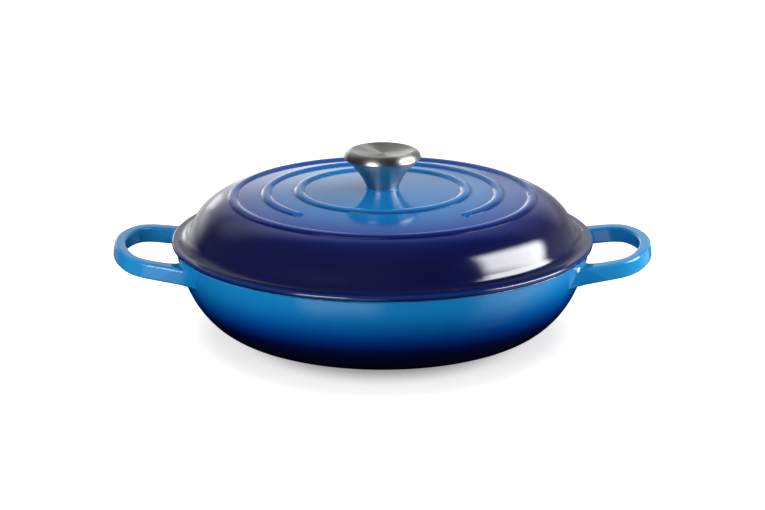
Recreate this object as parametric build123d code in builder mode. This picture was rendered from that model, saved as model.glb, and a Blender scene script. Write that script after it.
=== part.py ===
# Lidded shallow casserole (braiser) in enamelled cast iron.
# The origin is the centre of the flat base, +Z is up and the loop handles lie along X.
# All sizes are in millimetres and all angles in degrees.

from build123d import *
from math import cos, radians, sin, tan
import os

os.makedirs("parts", exist_ok=True)

# Pot
pot_height = 66.5
rim_radius = 152.5
base_radius = 93.0
pot_wall = 4.0
rim_rounding = 1.4
haunch_shares = (0.607, 0.224)
flank_shares = (0.874, 0.583)

# Loop handles, cast in one with the pot: two splayed arms and a shallow bowed grip.
# Projection, spread and splay are measured in the handle's own tilted plane, at the rim.
handle_projection = 47.2
handle_thickness = 12.1
handle_drop = 9.9
handle_tilt = 7.7
handle_rounding = 2.0
arm_spread = 56.9
arm_splay = 10.7
arm_width = 11.7
grip_width = 8.2
grip_bow_radius = 81.4
grip_corner_radius = 26.8
root_blend_radius = 36.0
root_fillet = 3.2
opening_splay = 7.4
opening_corner_radius = 17.6
opening_root_radius = 14.5
root_start_share = 0.72

# Lid
lid_gap = 0.3
lid_rise = 37.0
lid_wall = 3.4
flange_overhang = 2.5
flange_width = 11.6
flange_thickness = 3.7
flange_rounding = 1.5
skirt_blend_radius = 9.0
shoulder_width = 32.7
crown_drop = 6.4
lip_clearance = 1.0
lip_width = 3.8
lip_depth = 4.0
lip_rounding = 1.2

# Raised rings on the lid: the middle one stops short of the front on both sides
inner_ring_share = 0.551
middle_ring_share = 0.771
outer_ring_share = 0.993
ring_width = 8.4
ring_height = 1.8
ring_break_angle = 44.5

# Knob
knob_foot_radius = 11.6
knob_foot_lean = 19.0
knob_waist_radius = 20.0
knob_waist_height = 14.3
knob_radius = 28.2
knob_brim_height = 22.3
knob_brow_radius = 5.7
knob_dish_depth = 2.6
knob_brim_rounding = 0.7

# Knob fixing: a screw from inside the lid, with a split spring washer under its head
screw_diameter = 6.0
screw_grip = 13.0
thread_clearance = 0.05
bore_spare = 3.0
screw_hole_clearance = 0.3
screw_head_diameter = 12.0
screw_head_height = 3.6
screw_head_rounding = 1.2
screw_slot_width = 1.6
screw_slot_depth = 1.8
washer_diameter = 11.4
washer_thickness = 1.6
washer_clearance = 0.2
washer_split = 1.2
washer_split_angle = 20.0
seat_margin = 1.2
seat_height = 0.5
boss_margin = 2.5
boss_drop = 1.2

# Radii and heights that follow from these
handle_reach = rim_radius + handle_projection
flange_radius = rim_radius + flange_overhang
skirt_radius = flange_radius - flange_width
crown_radius = skirt_radius - shoulder_width
inner_ring_radius = inner_ring_share * crown_radius
middle_ring_radius = middle_ring_share * crown_radius
outer_ring_radius = outer_ring_share * crown_radius
flange_bottom = pot_height + lid_gap
flange_top = flange_bottom + flange_thickness
crown_height = flange_top + lid_rise
seat_top = crown_height + seat_height
boss_bottom = crown_height - lid_wall - boss_drop
washer_bottom = boss_bottom - washer_thickness
screw_head_bottom = washer_bottom - screw_head_height
screw_tip = seat_top + screw_grip

upward = (Align.CENTER, Align.CENTER, Align.MIN)


# Point beside the end of an outline's arc, one wall to its left
def beside_end(arc, wall):
    along = arc % 1
    return arc @ 1 + Vector(-along.Y, along.X) * wall


# Point of the pot's outline, as shares of the way from the base corner to the rim
def between(shares):
    radius_share, height_share = shares
    return base_radius + radius_share * (rim_radius - base_radius), height_share * pot_height


# Pot outline: three arcs in line, from the flat base round the haunch and up to the rim
with BuildLine() as pot_outline:
    base = Line((0, 0), (base_radius, 0))
    haunch = TangentArc(base @ 1, between(haunch_shares), tangent=base % 1)
    flank = TangentArc(haunch @ 1, between(flank_shares), tangent=haunch % 1)
    rise = TangentArc(flank @ 1, (rim_radius, pot_height), tangent=flank % 1)

# Inner outline: the same arcs, one wall further in, up to the mouth
mouth_radius = beside_end(rise, pot_wall).X

with BuildLine() as inner_outline:
    floor = Line((0, pot_wall), (base_radius, pot_wall))
    inner_haunch = TangentArc(floor @ 1, beside_end(haunch, pot_wall), tangent=floor % 1)
    inner_flank = TangentArc(inner_haunch @ 1, beside_end(flank, pot_wall), tangent=inner_haunch % 1)
    inner_rise = TangentArc(inner_flank @ 1, (mouth_radius, pot_height), tangent=inner_flank % 1)

# Space inside the pot, which trims the roots of the handles
with BuildPart() as pot_space:
    with BuildSketch(Plane.XZ):
        with BuildLine():
            add(inner_outline.line)
            Polyline(inner_rise @ 1, (0, pot_height), floor @ 0)
        make_face()
    revolve(axis=Axis.Z)


# Plan of a tongue that tapers from the pot's axis to the grip, where a wide arc closes it
def tongue_plan(spread, splay, reach, bow_radius):
    slope = tan(radians(splay))
    near = spread + rim_radius * slope
    far = spread - (reach - rim_radius) * slope
    with BuildSketch() as tongue:
        with BuildLine():
            Polyline((0, near), (reach, far), (reach, -far), (0, -near), close=True)
        make_face()
        with Locations((reach - bow_radius, 0)):
            Circle(bow_radius, mode=Mode.INTERSECT)
    return tongue.sketch


# Radius of the pot's outer skin at a height of its upper wall
def skin_radius(height):
    return rise.arc_center.X + (rise.radius**2 - (height - rise.arc_center.Y) ** 2) ** 0.5


# The handles start inside the wall, on a circle that even their lowest corners don't show
tilt = radians(handle_tilt)
root_start = root_start_share * rim_radius
root_drop = handle_drop + (rim_radius - root_start) * tan(tilt) + handle_thickness / (2 * cos(tilt))
root_circle_radius = skin_radius(pot_height - root_drop)

# Handle outline: the arms run out of the pot's wall through wide blends
with BuildSketch() as handle_plan:
    add(tongue_plan(arm_spread, arm_splay, handle_reach, grip_bow_radius))
    fillet(handle_plan.vertices().group_by(Axis.X)[-1], grip_corner_radius)
    Circle(root_circle_radius)
    fillet(handle_plan.vertices().sort_by_distance((0, 0))[:2], root_blend_radius)

# Finger opening: it ends at the pot's wall, with rounded corners at both ends
opening_reach = handle_reach - grip_width

with BuildSketch() as opening_plan:
    add(tongue_plan(arm_spread - arm_width, opening_splay, opening_reach, grip_bow_radius - grip_width))
    fillet(opening_plan.vertices().group_by(Axis.X)[-1], opening_corner_radius)
    Circle(root_circle_radius, mode=Mode.SUBTRACT)
    fillet(opening_plan.vertices().group_by(Axis.X)[0], opening_root_radius)

# One loop handle: a rounded plate that rises outward from the wall, cut off inside the pot
handle_plane = Plane(
    origin=(0, 0, pot_height - handle_drop - rim_radius * tan(tilt)),
    x_dir=(cos(tilt), 0, sin(tilt)),
    z_dir=(-sin(tilt), 0, cos(tilt)),
)

with BuildPart() as handle:
    with BuildSketch(handle_plane):
        add(handle_plan.sketch)
        add(opening_plan.sketch, mode=Mode.SUBTRACT)
    extrude(amount=handle_thickness / 2, both=True)
    flat_faces = handle.faces().sort_by(Axis(handle_plane.origin, handle_plane.z_dir))
    fillet(flat_faces[0].edges() + flat_faces[-1].edges(), handle_rounding)
    split(bisect_by=Plane.YZ.offset(root_start))


# Is a point on the outer skin of the pot's upper wall?
def on_upper_wall(point):
    return abs((point.X**2 + point.Y**2) ** 0.5 - skin_radius(point.Z)) < pot_wall / 2


# Pot: the bowl and both handles in one casting, with a fillet round each arm's root
with BuildPart() as pot:
    add(handle.part)
    add(mirror(handle.part, about=Plane.YZ, mode=Mode.PRIVATE))
    add(pot_space.part, mode=Mode.SUBTRACT)
    with BuildSketch(Plane.XZ) as wall_section:
        with BuildLine():
            add(pot_outline.line)
            add(inner_outline.line)
            Line(rise @ 1, inner_rise @ 1)
            Line(base @ 0, floor @ 0)
        make_face()
        fillet(wall_section.vertices().group_by(Axis.Y)[-1], rim_rounding)
    revolve(axis=Axis.Z)
    roots = pot.edges().filter_by(GeomType.BSPLINE)
    roots = roots.filter_by(lambda edge: on_upper_wall(edge @ 0) and on_upper_wall(edge @ 1))
    fillet(roots, root_fillet)

pot.part.label = "pot"
export_step(pot.part, "parts/pot.step")

# Lid outline: a gently domed crown that turns down through the shoulder to the flange
with BuildLine() as lid_outline:
    crown = TangentArc((0, crown_height), (crown_radius, crown_height - crown_drop), tangent=(1, 0))
    shoulder = TangentArc(crown @ 1, (skirt_radius, flange_top), tangent=crown % 1)


# Height of the crown's surface at a distance from the lid's axis
def crown_level(radius):
    return crown.arc_center.Y + (crown.radius**2 - radius**2) ** 0.5


# Section of a round bead that stands on the crown, with its root sunk into the lid's wall
def bead_section(radius):
    root = crown_level(radius) - lid_wall / 2
    top = crown_level(radius) + ring_height
    bulge_radius = (ring_width**2 / 4 + ring_height**2) / (2 * ring_height)
    with BuildSketch() as bead:
        with Locations((radius, top - bulge_radius)):
            Circle(bulge_radius)
        with Locations((radius, root)):
            Rectangle(ring_width, top - root, align=(Align.CENTER, Align.MIN), mode=Mode.INTERSECT)
    return bead.sketch


# Rounded end of the middle ring: its bead turned about the middle of its own width
def ring_end(angle):
    end_axis = Axis((middle_ring_radius, 0, 0), (0, 0, 1))
    with BuildPart() as end:
        with BuildSketch(Plane.XZ):
            add(bead_section(middle_ring_radius))
            with Locations((middle_ring_radius, 0)):
                Rectangle(ring_width, 2 * crown_height, align=(Align.MIN, Align.CENTER), mode=Mode.INTERSECT)
        revolve(axis=end_axis)
    return end.part.rotate(Axis.Z, angle)


# Lid: dome, flange, the lip that locates it in the pot's mouth, the rings and the knob's seat
lip_radius = mouth_radius - lip_clearance
lip_bottom = flange_bottom - lip_depth
front_angle = -90
right_end_angle = front_angle + ring_break_angle
left_end_angle = front_angle - ring_break_angle

with BuildPart() as lid:
    with BuildSketch(Plane.XZ) as lid_section:
        with BuildLine():
            add(lid_outline.line)
            ceiling = TangentArc(
                (0, crown_height - lid_wall), beside_end(crown, -lid_wall), tangent=(1, 0)
            )
            inner_shoulder = TangentArc(ceiling @ 1, beside_end(shoulder, -lid_wall), tangent=ceiling % 1)
            Polyline(
                shoulder @ 1,
                (flange_radius, flange_top),
                (flange_radius, flange_bottom),
                (lip_radius, flange_bottom),
                (lip_radius, lip_bottom),
                (lip_radius - lip_width, lip_bottom),
                inner_shoulder @ 1,
            )
            Line(ceiling @ 0, crown @ 0)
        make_face()
        fillet(lid_section.vertices().group_by(Axis.X)[-1], flange_rounding)
        fillet(lid_section.vertices().group_by(Axis.Y)[0], lip_rounding)
        fillet(lid_section.vertices().sort_by_distance(shoulder @ 1)[0], skirt_blend_radius)
    revolve(axis=Axis.Z)
    with BuildSketch(Plane.XZ):
        add(bead_section(inner_ring_radius))
        add(bead_section(outer_ring_radius))
    revolve(axis=Axis.Z)
    with BuildSketch(Plane.XZ.rotated((0, 0, right_end_angle))):
        add(bead_section(middle_ring_radius))
    revolve(axis=Axis.Z, revolution_arc=360 - 2 * ring_break_angle)
    add(ring_end(right_end_angle))
    add(ring_end(left_end_angle))
    with Locations((0, 0, boss_bottom)):
        Cylinder(screw_head_diameter / 2 + boss_margin, crown_height - boss_bottom, align=upward)
        Cylinder(knob_foot_radius + seat_margin, seat_top - boss_bottom, align=upward)
        Cylinder(
            screw_diameter / 2 + screw_hole_clearance, seat_top - boss_bottom, align=upward, mode=Mode.SUBTRACT
        )

lid.part.label = "lid"
export_step(lid.part, "parts/lid.step")

# Knob: waisted stem, flared brim, rounded brow and a shallow dish on top, tapped from below
brim_level = seat_top + knob_brim_height
knob_top = brim_level + knob_brow_radius
foot_lean = radians(knob_foot_lean)

with BuildPart() as knob:
    with BuildSketch(Plane.XZ) as knob_section:
        with BuildLine():
            foot = Line((0, seat_top), (knob_foot_radius, seat_top))
            waist_point = (knob_waist_radius, seat_top + knob_waist_height)
            stem = TangentArc(foot @ 1, waist_point, tangent=(sin(foot_lean), cos(foot_lean)))
            flare = TangentArc(stem @ 1, (knob_radius, brim_level), tangent=stem % 1)
            brow = TangentArc(flare @ 1, (knob_radius - knob_brow_radius, knob_top), tangent=(0, 1))
            dish = TangentArc((0, knob_top - knob_dish_depth), brow @ 1, tangent=(1, 0))
            Line(dish @ 0, foot @ 0)
        make_face()
        fillet(knob_section.vertices().group_by(Axis.X)[-1], knob_brim_rounding)
    revolve(axis=Axis.Z)
    with Locations((0, 0, seat_top)):
        Cylinder(
            screw_diameter / 2 + thread_clearance, screw_grip + bore_spare, align=upward, mode=Mode.SUBTRACT
        )

knob.part.label = "knob"
export_step(knob.part, "parts/knob.step")

# Screw: pan head with a slot, seen only from inside the lid
with BuildPart() as knob_screw:
    with Locations((0, 0, screw_head_bottom)):
        Cylinder(screw_head_diameter / 2, screw_head_height, align=upward)
        fillet(knob_screw.edges().group_by(Axis.Z)[0], screw_head_rounding)
        Box(screw_head_diameter, screw_slot_width, screw_slot_depth, align=upward, mode=Mode.SUBTRACT)
    with Locations((0, 0, washer_bottom)):
        Cylinder(screw_diameter / 2, screw_tip - washer_bottom, align=upward)

knob_screw.part.label = "knob_screw"
export_step(knob_screw.part, "parts/knob_screw.step")

# Split spring washer, pressed flat between the screw's head and the lid's boss
with BuildPart() as lock_washer:
    with Locations((0, 0, washer_bottom)):
        Cylinder(washer_diameter / 2, washer_thickness, align=upward)
        Cylinder(
            screw_diameter / 2 + washer_clearance, washer_thickness, align=upward, mode=Mode.SUBTRACT
        )
    split_place = (washer_diameter / 2, 0, washer_bottom + washer_thickness / 2)
    with Locations(Location(split_place, (washer_split_angle, 0, 0))):
        Box(washer_diameter, washer_split, 2 * washer_thickness, mode=Mode.SUBTRACT)

lock_washer.part.label = "lock_washer"
export_step(lock_washer.part, "parts/lock_washer.step")
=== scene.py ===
# Studio picture of a lidded shallow casserole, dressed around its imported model.
# Lengths are in metres, in the model's own frame: the base stands on z = 0 and the front faces -Y.

from math import cos, radians, sin, tan

import bpy
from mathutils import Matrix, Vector


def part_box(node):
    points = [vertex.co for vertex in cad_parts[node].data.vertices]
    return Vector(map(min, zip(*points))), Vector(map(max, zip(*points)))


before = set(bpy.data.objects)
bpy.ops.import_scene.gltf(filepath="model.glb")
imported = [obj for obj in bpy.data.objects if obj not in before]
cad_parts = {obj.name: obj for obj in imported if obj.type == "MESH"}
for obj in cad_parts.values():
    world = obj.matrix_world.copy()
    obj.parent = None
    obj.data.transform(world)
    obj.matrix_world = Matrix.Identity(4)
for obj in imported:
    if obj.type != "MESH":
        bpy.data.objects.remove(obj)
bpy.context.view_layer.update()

MM = 0.001

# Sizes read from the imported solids
pot_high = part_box("pot")[1]
lid_low, lid_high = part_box("lid")
knob_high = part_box("knob")[1]
rim_radius = pot_high.y
flange_radius = lid_high.y

# Camera: a long lens in front, looking down by about 16 degrees
CAMERA_DISTANCE = 2.200
CAMERA_HEIGHT = 0.6963
AIM_HEIGHT = 0.0558
LENS = 145.96
SENSOR_WIDTH = 36.0

# Middle of the object, which the lamps face
CENTRE = Vector((0.0, 0.0, 0.07))

# Enamel colours, sRGB 0 to 255. Pot: by height above the base, in mm
POT_PAINT = (
    (6, (22, 20, 42)),
    (11, (18, 17, 38)),
    (16, (11, 12, 38)),
    (20, (6, 12, 48)),
    (25, (2, 16, 67)),
    (31, (1, 37, 104)),
    (37, (1, 59, 131)),
    (43, (2, 81, 150)),
    (50, (8, 103, 166)),
    (57, (15, 115, 177)),
    (64, (20, 120, 182)),
    (66, (30, 130, 190)),
)
# Lid: by distance from the axis, in mm
LID_PAINT = (
    (30, (18, 112, 177)),
    (70, (18, 109, 175)),
    (84, (17, 93, 163)),
    (95, (16, 76, 151)),
    (104, (14, 58, 137)),
    (110, (13, 46, 124)),
    (115, (12, 33, 106)),
    (120, (11, 24, 88)),
    (127, (11, 17, 66)),
    (136, (11, 14, 56)),
    (147, (11, 17, 58)),
    (154, (8, 30, 84)),
)
# Painted shade at the feet of the lid's rings, where the glass also pools darker
POOLED_SHADE_BLUE = (10, 20, 78)
# Painted highlight on the crest of the lid's outer ring, where the glass is also thinner
HIGHLIGHT_THIN_BLUE = (44, 88, 164)
# Painted shade and painted light on the lower and upper half of the flange's edge
EDGE_SHADE_BLUE = (0, 18, 70)
EDGE_LIGHT_BLUE = (8, 38, 98)
SAND = (226, 214, 188)
RAW_RIM = (20, 20, 24)

# Clouds in the enamel: size as a noise scale, and how far they darken or lighten the colour
POT_CLOUDS = (60.0, 0.06)
LID_CLOUDS = (60.0, 0.05)
SAND_CLOUDS = (40.0, 0.03)

# Enamel's finish, and what wear and grinding add to its roughness
GLASS_IOR = 1.5
GLASS_ROUGHNESS = 0.11
BASE_WEAR = 0.35
GROUND_WEAR = 0.5

# Pot. Outside the rim, the paint table is read higher by this share of the distance
HANDLE_CLIMB = 0.6
MOUTH_INSET = 3.8 * MM
BASE_TOP = 0.3 * MM
# The ground rim: its depth below the handles' top, its inset and the least cosine to the vertical
RIM_DEPTH = (3.2 * MM, 2.6 * MM)
RIM_INSET = 1.6 * MM
RIM_FACES_UP = 0.3

# Lid. Radius of each ring's outer foot, in mm, how dark its painted shade and pooled glass are
# there, and the cosine to the front at which the ring ends (above 1: nowhere)
RING_FEET = ((65.2, 0.6, 1.1), (89.5, 0.6, 0.70), (114.1, 0.85, 1.1))
# A foot's line of painted shade from the foot's radius, in mm, and how soft its end is
FOOT_SHADE_LINE = (-2.8, -0.2, 0.4, 2.0)
FOOT_END = 0.02
# The outer ring's inner slope and crest, in mm, where a highlight is painted and the glass is
# thin, and how pale the painted highlight is
RING_CREST = (103.4, 105.6, 109.6, 112.2)
CREST_SHARE = 0.6
# The flange's edge, with painted light above and painted shade below: where these part, above
# the lip's bottom, and how far in they reach
EDGE_SPLIT = (5.2 * MM, 6.0 * MM)
EDGE_INSET = (1.3 * MM, 0.5 * MM)
# Most that a face inside the lid looks up and outward, as a sum of both cosines
LID_FACES_IN = -0.05
# The ground faces: their top above the lip's bottom, how far in from the edge all is ground there,
# and the cosine to the vertical below which a face is ground
GROUND_TOP = 5.0 * MM
GROUND_INSET = 5.0 * MM
GROUND_FACES_DOWN = -0.7

# Steel: sRGB colour, roughness and anisotropy
KNOB_STEEL = ((182, 181, 179), 0.37, 0.8)
SCREW_STEEL = ((170, 168, 164), 0.35, 0.3)
WASHER_STEEL = ((150, 148, 146), 0.4, 0.3)
# The knob's waist is smoother: its top below the knob's, half the change's height, its roughness
WAIST_DROP = 11.0 * MM
WAIST_SOFTNESS = 3.0 * MM
WAIST_ROUGHNESS = 0.28

# What the world sheds on matt faces
AMBIENT = 0.52

# What gloss sees of it. A direction has x to the right, y to the back and z up, each from -1 to 1.
# Of a patch of light, a pair says where it starts and where it is full, and four numbers say where
# it starts, is full, is last full and ends. BACKDROP_LEFT is a share that is added to the backdrop
# there, and both BACKDROP_RIGHT are taken from it.
BACKDROP = {"y": (0.66, 0.94), "z": (0.80, -0.10)}
ABOVE_TABLE = {"z": (-0.30, -0.10)}
BACKDROP_LEFT = {"level": 0.6, "x": (0.02, -0.05), "z": (0.0, 0.12, 0.15, 0.30)}
BACKDROP_RIGHT_LOW = {"level": 0.5, "x": (-0.02, 0.05), "z": (0.24, 0.10)}
BACKDROP_RIGHT_FAR = {"level": 0.15, "x": (0.1, 0.3)}
HAZE_RIGHT = {"level": 0.35, "x": (0.2, 0.6), "y": (0.25, 0.6), "z": (0.80, -0.10)}
HORIZON = {"level": 1.25, "x": (-0.14, -0.10, 0.10, 0.14), "z": (-0.08, -0.02, 0.06, 0.12)}
LEFT_STRIP = {"level": 1.25, "x": (-0.34, -0.30, -0.21, -0.17), "z": (0.04, 0.08, 0.18, 0.24)}
UPPER = {"y": (0.35, 0.75), "z": (0.30, 0.60, 0.70, 0.95)}
UPPER_SIDES = (-0.2, 0.2)
UPPER_LEVELS = (0.47, 0.25)
ROOM_SIDES = (0.0, 0.45)
ROOM_LEVELS = (0.07, 0.01)
ROOM_FLOOR = (0.0, 0.1)

# The table's glow in the gloss: azimuth, cosines where it starts and is full, and level
GLOW_RIGHT = (105, 0.6, 0.82, 1.15)
GLOW_FRONT = (-26, 0.85, 0.97, 1.2)
GLOW_RIGHT_FADE = (-0.88, -0.50)
GLOW_RIGHT_SLOPE = 0.55
GLOW_FRONT_FADE = (-0.76, -0.60)
GLOW_TOP = -0.2

# Floor: just below the base, and how white it shows by distance, which counts more sideways;
# it glows less near the base, a painted shadow on top of its real one
FLOOR_SIZE = 12.0
FLOOR_DROP = 0.05 * MM
FLOOR_STRETCH = (1.25, 1.0, 1.0)
FLOOR_GREY = (0.8, 0.8, 0.8, 1.0)
NEAR_REACH, FAR_REACH = (0.098, 0.140), (0.15, 0.20)
NEAR_LIFT, MIDDLE_LIFT, FAR_LIFT = 0.28, 0.68, 1.0

WHITE = (1.0, 1.0, 1.0, 1.0)
LEVEL_PLANE = (1.0, 1.0, 0.0)


def linear(colour):
    """Linear RGBA of an sRGB colour given as 0 to 255."""
    shares = [part / 255 for part in colour]
    return [s / 12.92 if s <= 0.04045 else ((s + 0.055) / 1.055) ** 2.4 for s in shares] + [1.0]


def look_at(item, target):
    item.rotation_euler = (Vector(target) - item.location).to_track_quat("-Z", "Y").to_euler()


def add_camera():
    data = bpy.data.cameras.new("camera")
    data.lens = LENS
    data.sensor_width = SENSOR_WIDTH
    camera = bpy.data.objects.new("camera", data)
    camera.location = (0.0, -CAMERA_DISTANCE, CAMERA_HEIGHT)
    look_at(camera, (0.0, 0.0, AIM_HEIGHT))
    bpy.context.scene.collection.objects.link(camera)
    bpy.context.scene.camera = camera


# Node helpers
def add_node(tree, kind, inputs=None, **settings):
    """Adds a shader node, sets or links its inputs, and returns its outputs."""
    node = tree.nodes.new("ShaderNode" + kind)
    for name, value in settings.items():
        setattr(node, name, value)
    for key, value in (inputs or {}).items():
        if isinstance(value, bpy.types.NodeSocket):
            tree.links.new(value, node.inputs[key])
        else:
            node.inputs[key].default_value = value
    return node.outputs


def calc(tree, operation, first, second=0.0):
    """One Math node."""
    return add_node(tree, "Math", {0: first, 1: second}, operation=operation)[0]


def product(tree, first, *others):
    """The product of two or more values."""
    for other in others:
        first = calc(tree, "MULTIPLY", first, other)
    return first


def vector_math(tree, operation, first, second=(0.0, 0.0, 0.0)):
    """One Vector Math node."""
    return add_node(tree, "VectorMath", {0: first, 1: second}, operation=operation)


def rise(tree, value, start, end):
    """A smooth step from 0 at start to 1 at end, which may be the lower one."""
    inputs = {"Value": value, "From Min": start, "From Max": end}
    return add_node(tree, "MapRange", inputs, interpolation_type="SMOOTHSTEP")[0]


def band(tree, value, start, full, last_full, end):
    """A smooth step up and one down again."""
    return product(tree, rise(tree, value, start, full), rise(tree, value, end, last_full))


def mix_values(tree, share, first, second):
    return add_node(tree, "Mix", {0: share, 2: first, 3: second}, data_type="FLOAT")[0]


def mix_colours(tree, share, first, second, blend="MIX"):
    inputs = {0: share, 6: first, 7: second}
    return add_node(tree, "Mix", inputs, data_type="RGBA", blend_type=blend)[2]


def paint_by(tree, value, stops):
    """Colour that follows a length, from stops given in mm."""
    first, last = stops[0][0] * MM, stops[-1][0] * MM
    place = add_node(tree, "MapRange", {"Value": value, "From Min": first, "From Max": last})[0]
    node = tree.nodes.new("ShaderNodeValToRGB")
    node.color_ramp.interpolation = "LINEAR"
    elements = node.color_ramp.elements
    while len(elements) < len(stops):
        elements.new(0.5)
    for element, (length, colour) in zip(elements, stops):
        element.position = (length * MM - first) / (last - first)
        element.color = linear(colour)
    tree.links.new(place, node.inputs[0])
    return node.outputs[0]


def new_material(name):
    material = bpy.data.materials.new(name)
    material.use_nodes = True
    material.node_tree.nodes.clear()
    return material, material.node_tree


def finish_material(tree, shader):
    add_node(tree, "OutputMaterial", {"Surface": shader})


def surface_place(tree):
    """Position, height, distance from the axis and normal, all in the piece's own frame."""
    coordinate = add_node(tree, "TexCoord")
    x, y, z = add_node(tree, "SeparateXYZ", {0: coordinate["Object"]})[:3]
    squares = calc(tree, "ADD", product(tree, x, x), product(tree, y, y))
    return coordinate["Object"], z, calc(tree, "SQRT", squares), coordinate["Normal"]


def outward_share(tree, place, normal, reach):
    """How far the surface faces away from the axis: the cosine between both."""
    flat = vector_math(tree, "MULTIPLY", place, LEVEL_PLANE)[0]
    along = vector_math(tree, "DOT_PRODUCT", flat, normal)["Value"]
    return calc(tree, "DIVIDE", along, calc(tree, "MAXIMUM", reach, MM))


def enamel_bump(tree, place):
    """Soft waves of sprayed and fired glass, over the grain of the cast iron."""
    waves = add_node(tree, "TexNoise", {"Vector": place, "Scale": 190.0, "Detail": 1.0})[0]
    grain = add_node(tree, "TexNoise", {"Vector": place, "Scale": 620.0, "Detail": 2.0})[0]
    broad = add_node(tree, "Bump", {"Height": waves, "Strength": 0.35, "Distance": 0.06 * MM})[0]
    fine = {"Height": grain, "Strength": 0.25, "Distance": 0.03 * MM, "Normal": broad}
    return add_node(tree, "Bump", fine)[0]


def mottled(tree, place, colour, scale, amount):
    """The colour, slightly lighter and darker in clouds."""
    clouds = add_node(tree, "TexNoise", {"Vector": place, "Scale": scale, "Detail": 3.0})[0]
    levels = {"Value": clouds, "To Min": 1.0 - amount, "To Max": 1.0 + amount}
    level = add_node(tree, "MapRange", levels)[0]
    return mix_colours(tree, 1.0, colour, level, blend="MULTIPLY")


def finish_enamel(tree, place, colour, wear):
    """Glass over iron, of the colour, with the roughness that wear adds."""
    look = {
        "Base Color": colour,
        "Roughness": calc(tree, "ADD", wear, GLASS_ROUGHNESS),
        "IOR": GLASS_IOR,
        "Normal": enamel_bump(tree, place),
    }
    finish_material(tree, add_node(tree, "BsdfPrincipled", look)[0])


def pot_enamel():
    material, tree = new_material("pot_enamel")
    place, height, reach, normal = surface_place(tree)
    outward = outward_share(tree, place, normal, reach)
    upward = add_node(tree, "SeparateXYZ", {0: normal})[2]

    # The handles keep the colour of the rim, also underneath
    overhang = calc(tree, "MAXIMUM", calc(tree, "SUBTRACT", reach, rim_radius), 0.0)
    painted_height = calc(tree, "ADD", height, product(tree, overhang, HANDLE_CLIMB))
    outside = mottled(tree, place, paint_by(tree, painted_height, POT_PAINT), *POT_CLOUDS)

    # Inside: the surface looks up or towards the axis, within the mouth
    faces_in = calc(tree, "GREATER_THAN", calc(tree, "SUBTRACT", upward, outward), 0.0)
    within = calc(tree, "LESS_THAN", reach, rim_radius - MOUTH_INSET)
    sand = mottled(tree, place, linear(SAND), *SAND_CLOUDS)
    colour = mix_colours(tree, product(tree, faces_in, within), outside, sand)

    # Ground rim under the lid
    near_top = rise(tree, height, pot_high.z - RIM_DEPTH[0], pot_high.z - RIM_DEPTH[1])
    in_rim = calc(tree, "LESS_THAN", reach, rim_radius - RIM_INSET)
    faces_up = calc(tree, "GREATER_THAN", upward, RIM_FACES_UP)
    raw = product(tree, near_top, in_rim, faces_up)
    colour = mix_colours(tree, raw, colour, linear(RAW_RIM))

    # Flat base, rubbed duller than the sides
    base = calc(tree, "LESS_THAN", height, BASE_TOP)
    wear = calc(tree, "MAXIMUM", product(tree, base, BASE_WEAR), product(tree, raw, GROUND_WEAR))
    finish_enamel(tree, place, colour, wear)
    return material


def lid_enamel():
    material, tree = new_material("lid_enamel")
    place, height, reach, normal = surface_place(tree)
    outward = outward_share(tree, place, normal, reach)
    upward = add_node(tree, "SeparateXYZ", {0: normal})[2]
    colour = paint_by(tree, reach, LID_PAINT)

    # Painted shade at the outer foot of each ring, where the glass also lies thicker and darker
    y = add_node(tree, "SeparateXYZ", {0: place})[1]
    frontness = calc(tree, "DIVIDE", calc(tree, "SUBTRACT", 0.0, y), reach)
    for ring_radius, shade_depth, last in RING_FEET:
        line = band(tree, reach, *((ring_radius + offset) * MM for offset in FOOT_SHADE_LINE))
        foot_shade = product(tree, line, rise(tree, frontness, last, last - FOOT_END), shade_depth)
        colour = mix_colours(tree, foot_shade, colour, linear(POOLED_SHADE_BLUE))

    # and a painted highlight over the crest of the outer one, where the glass is also thinner
    crest = band(tree, reach, *(radius * MM for radius in RING_CREST))
    colour = mix_colours(tree, product(tree, crest, CREST_SHARE), colour, linear(HIGHLIGHT_THIN_BLUE))

    # Edge of the flange: painted light above, painted shade below
    lit_half = rise(tree, height, lid_low.z + EDGE_SPLIT[0], lid_low.z + EDGE_SPLIT[1])
    edge_shading = mix_colours(tree, lit_half, linear(EDGE_SHADE_BLUE), linear(EDGE_LIGHT_BLUE))
    at_edge = rise(tree, reach, flange_radius - EDGE_INSET[0], flange_radius - EDGE_INSET[1])
    colour = mix_colours(tree, at_edge, colour, edge_shading)
    outside = mottled(tree, place, colour, *LID_CLOUDS)

    # Inside: the surface looks down or towards the axis
    inside = calc(tree, "LESS_THAN", calc(tree, "ADD", upward, outward), LID_FACES_IN)
    sand = mottled(tree, place, linear(SAND), *SAND_CLOUDS)
    colour = mix_colours(tree, inside, outside, sand)

    # Ground face of the flange and the lip below it
    low = calc(tree, "LESS_THAN", height, lid_low.z + GROUND_TOP)
    low_face = calc(tree, "LESS_THAN", upward, GROUND_FACES_DOWN)
    within = calc(tree, "LESS_THAN", reach, flange_radius - GROUND_INSET)
    raw = product(tree, low, calc(tree, "MAXIMUM", low_face, within))
    colour = mix_colours(tree, raw, colour, linear(RAW_RIM))
    finish_enamel(tree, place, colour, product(tree, raw, GROUND_WEAR))
    return material


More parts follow.
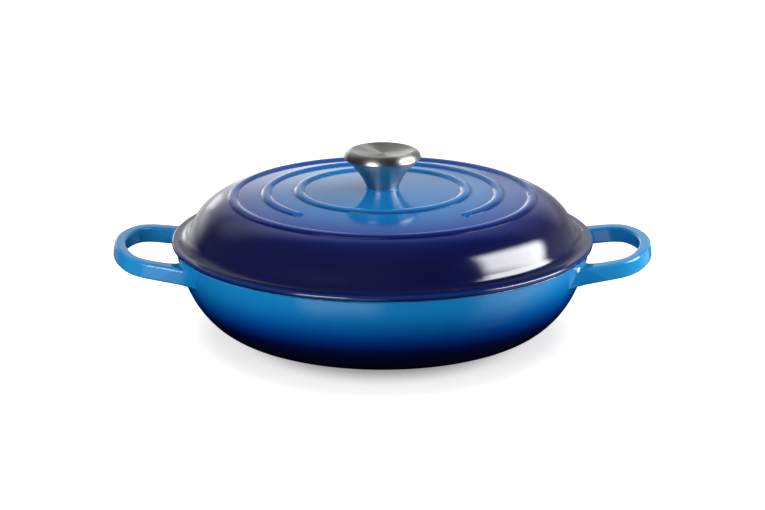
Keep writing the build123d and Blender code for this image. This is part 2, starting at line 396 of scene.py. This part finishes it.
def turned_steel(name, colour, roughness, anisotropy, waist_top=None):
    """Steel with fine turning marks round the piece's axis, and smoother below a waist's top."""
    material, tree = new_material(name)
    _, height, reach, _ = surface_place(tree)
    marks_place = add_node(tree, "CombineXYZ", {0: reach, 1: 0.0, 2: height})[0]
    marks = add_node(tree, "TexNoise", {"Vector": marks_place, "Scale": 2600.0, "Detail": 2.0})[0]
    level = add_node(tree, "MapRange", {"Value": marks, "To Min": 0.93, "To Max": 1.07})[0]
    bump = add_node(tree, "Bump", {"Height": marks, "Strength": 0.2, "Distance": 0.01 * MM})[0]
    if waist_top is not None:
        waist = rise(tree, height, waist_top + WAIST_SOFTNESS, waist_top - WAIST_SOFTNESS)
        roughness = mix_values(tree, waist, roughness, WAIST_ROUGHNESS)
    look = {
        "Base Color": mix_colours(tree, 1.0, linear(colour), level, blend="MULTIPLY"),
        "Metallic": 1.0,
        "Roughness": roughness,
        "Anisotropic": anisotropy,
        "Anisotropic Rotation": 0.25,
        "Tangent": add_node(tree, "Tangent", direction_type="RADIAL", axis="Z")[0],
        "Normal": bump,
    }
    finish_material(tree, add_node(tree, "BsdfPrincipled", look)[0])
    return material


def dress(node_name, material):
    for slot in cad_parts[node_name].material_slots:
        slot.material = material


# Lamps and surroundings. Azimuths are from the front, positive to the right.
def direction(azimuth, elevation):
    a, e = radians(azimuth), radians(elevation)
    return Vector((sin(a) * cos(e), -cos(a) * cos(e), sin(e)))


def add_panel(
    name, azimuth, elevation, spread, distance, radiance, in_gloss=False, edge=(0.1, 0.1), roll=0.0
):
    """A soft panel that faces the object, of a width and height in degrees. It either lights it
    or only shows in its gloss."""
    data = bpy.data.lights.new(name, "AREA")
    data.shape = "RECTANGLE"
    data.size = 2 * distance * tan(radians(spread[0] / 2))
    data.size_y = 2 * distance * tan(radians(spread[1] / 2))
    data.energy = 4 * radiance * data.size * data.size_y
    data.use_nodes = True
    tree = data.node_tree
    tree.nodes.clear()
    on_panel = add_node(tree, "NewGeometry")["Parametric"]
    across, along = add_node(tree, "SeparateXYZ", {0: on_panel})[:2]
    strength = 1.0
    for value, soft in ((across, edge[0]), (along, edge[1])):
        nearest = calc(tree, "MINIMUM", value, calc(tree, "SUBTRACT", 1.0, value))
        strength = product(tree, strength, rise(tree, nearest, 0.0, soft))
    emission = add_node(tree, "Emission", {"Color": WHITE, "Strength": strength})[0]
    add_node(tree, "OutputLight", {"Surface": emission})
    panel = bpy.data.objects.new(name, data)
    panel.location = CENTRE + distance * direction(azimuth, elevation)
    look_at(panel, CENTRE)
    panel.rotation_euler.rotate_axis("Z", radians(roll))
    panel.visible_camera = False
    panel.visible_diffuse = not in_gloss
    panel.visible_glossy = in_gloss
    bpy.context.scene.collection.objects.link(panel)
    return panel


def keep_off(lamps, item):
    """Lets the lamps light everything but this item."""
    group = bpy.data.collections.new("not_lit_by_lamps")
    group.objects.link(item)
    group.collection_objects[0].light_linking.link_state = "EXCLUDE"
    for lamp in lamps:
        lamp.light_linking.receiver_collection = group


def patch(tree, axes, level=1.0, **spans):
    """A patch of light with soft sides, within its spans along some of the axes."""
    for axis, span in spans.items():
        step = band if len(span) == 4 else rise
        level = product(tree, level, step(tree, axes[axis], *span))
    return level


def backdrop_gloss(tree, axes):
    """A white backdrop behind the object: its levels left and right, its bright horizon and strip,
    and its softer upper part."""
    above_table = patch(tree, axes, **ABOVE_TABLE)
    right_low = patch(tree, axes, **BACKDROP_RIGHT_LOW)
    right = calc(tree, "ADD", right_low, patch(tree, axes, **BACKDROP_RIGHT_FAR))
    left = calc(tree, "ADD", patch(tree, axes, **BACKDROP_LEFT), 1.0)
    side = calc(tree, "SUBTRACT", left, right)
    backdrop = product(tree, patch(tree, axes, **BACKDROP), above_table, side)
    haze = product(tree, patch(tree, axes, **HAZE_RIGHT), above_table)
    light = calc(tree, "MAXIMUM", backdrop, haze)

    bright = calc(tree, "ADD", patch(tree, axes, **HORIZON), patch(tree, axes, **LEFT_STRIP))
    bright = product(tree, bright, calc(tree, "GREATER_THAN", axes["y"], 0.0))
    light = calc(tree, "ADD", light, bright)

    upper_level = mix_values(tree, rise(tree, axes["x"], *UPPER_SIDES), *UPPER_LEVELS)
    return calc(tree, "MAXIMUM", light, patch(tree, axes, level=upper_level, **UPPER))


def table_gloss(tree, toward, axes):
    """The table's glow, at the right and at the front left: it fades toward the viewer's feet."""
    flat = vector_math(tree, "MULTIPLY", toward, LEVEL_PLANE)[0]
    compass = vector_math(tree, "NORMALIZE", flat)[0]
    behind = calc(tree, "MAXIMUM", axes["y"], 0.0)
    drop = calc(tree, "SUBTRACT", axes["z"], product(tree, behind, GLOW_RIGHT_SLOPE))
    right_fade = rise(tree, drop, *GLOW_RIGHT_FADE)
    front_fade = rise(tree, axes["z"], *GLOW_FRONT_FADE)
    below = calc(tree, "LESS_THAN", axes["z"], GLOW_TOP)
    light = 0.0
    lobes = ((GLOW_RIGHT, product(tree, right_fade, right_fade)), (GLOW_FRONT, front_fade))
    for (azimuth, start, full, level), fade in lobes:
        facing = vector_math(tree, "DOT_PRODUCT", compass, direction(azimuth, 0))["Value"]
        glow = product(tree, rise(tree, facing, start, full), fade, level, below)
        light = calc(tree, "ADD", light, glow)
    return light


def add_surroundings():
    """White to the camera. In gloss, a white backdrop behind the object in a dark studio."""
    world = bpy.data.worlds.new("studio")
    bpy.context.scene.world = world
    world.use_nodes = True
    world.cycles.sampling_method = "NONE"
    tree = world.node_tree
    tree.nodes.clear()
    toward = add_node(tree, "TexCoord")["Generated"]
    axes = dict(zip("xyz", add_node(tree, "SeparateXYZ", {0: toward})[:3]))

    # The room is dim at the left and dark at the right
    room_level = mix_values(tree, rise(tree, axes["x"], *ROOM_SIDES), *ROOM_LEVELS)
    room = patch(tree, axes, level=room_level, z=ROOM_FLOOR)
    studio = calc(tree, "ADD", backdrop_gloss(tree, axes), table_gloss(tree, toward, axes))
    studio = calc(tree, "ADD", studio, room)

    ray = add_node(tree, "LightPath")
    mirrored = calc(tree, "MAXIMUM", ray["Is Glossy Ray"], ray["Is Transmission Ray"])
    strength = mix_values(tree, mirrored, AMBIENT, studio)
    strength = mix_values(tree, ray["Is Camera Ray"], strength, 1.0)
    background = add_node(tree, "Background", {"Color": WHITE, "Strength": strength})[0]
    add_node(tree, "OutputWorld", {"Surface": background})


def add_floor():
    """A white table top that keeps the soft shadow, with a painted shadow added near the object,
    and runs out into the white background.
    """
    bpy.ops.mesh.primitive_plane_add(size=FLOOR_SIZE, location=(0.0, 0.0, -FLOOR_DROP))
    floor = bpy.context.object
    floor.name = "floor"
    material, tree = new_material("floor_white")
    ray = add_node(tree, "LightPath")
    geometry = add_node(tree, "NewGeometry")
    stretched = vector_math(tree, "MULTIPLY", geometry["Position"], FLOOR_STRETCH)[0]
    distance = vector_math(tree, "LENGTH", stretched)["Value"]
    # The glow is weaker near the object: a painted shadow there, on top of the real one
    shadow_lift = mix_values(tree, rise(tree, distance, *NEAR_REACH), NEAR_LIFT, MIDDLE_LIFT)
    shadow_lift = mix_values(tree, rise(tree, distance, *FAR_REACH), shadow_lift, FAR_LIFT)
    glow = add_node(tree, "Emission", {"Strength": product(tree, shadow_lift, ray["Is Camera Ray"])})[0]
    matt = add_node(tree, "BsdfDiffuse", {"Color": FLOOR_GREY})[0]
    top = add_node(tree, "AddShader", {0: glow, 1: matt})[0]
    # Clear from below, so that the underside can be seen
    clear = add_node(tree, "BsdfTransparent")[0]
    sides = add_node(tree, "MixShader", {0: geometry["Backfacing"], 1: top, 2: clear})[0]
    finish_material(tree, sides)
    floor.data.materials.append(material)
    # Gloss on the object shows the dark studio below the horizon, not the table
    floor.visible_glossy = False
    floor.visible_shadow = False
    return floor


add_camera()
add_surroundings()
floor = add_floor()

dress("pot", pot_enamel())
dress("lid", lid_enamel())
dress("knob", turned_steel("knob_steel", *KNOB_STEEL, waist_top=knob_high.z - WAIST_DROP))
dress("knob_screw", turned_steel("screw_steel", *SCREW_STEEL))
dress("lock_washer", turned_steel("washer_steel", *WASHER_STEEL))

# Panels that show in the gloss: a large one at the right and a low one at the front left
add_panel(
    "gloss_right",
    azimuth=87,
    elevation=26,
    spread=(51, 41),
    distance=0.9,
    radiance=13.0,
    in_gloss=True,
    edge=(0.19, 0.30),
    roll=-28,
)
add_panel(
    "gloss_front",
    azimuth=-30,
    elevation=4,
    spread=(28, 28),
    distance=1.1,
    radiance=11.0,
    in_gloss=True,
    edge=(0.1, 0.25),
)

# Panels that light it
key = add_panel("key_right", azimuth=88, elevation=25, spread=(60, 50), distance=0.8, radiance=3.6)
fill = add_panel(
    "fill_left", azimuth=-42, elevation=20, spread=(46, 40), distance=1.1, radiance=3.65
)
bounce = add_panel(
    "bounce_right", azimuth=95, elevation=-18, spread=(50, 26), distance=0.9, radiance=3.2
)
keep_off((key, fill, bounce), floor)

scene = bpy.context.scene
scene.view_settings.view_transform = "Standard"
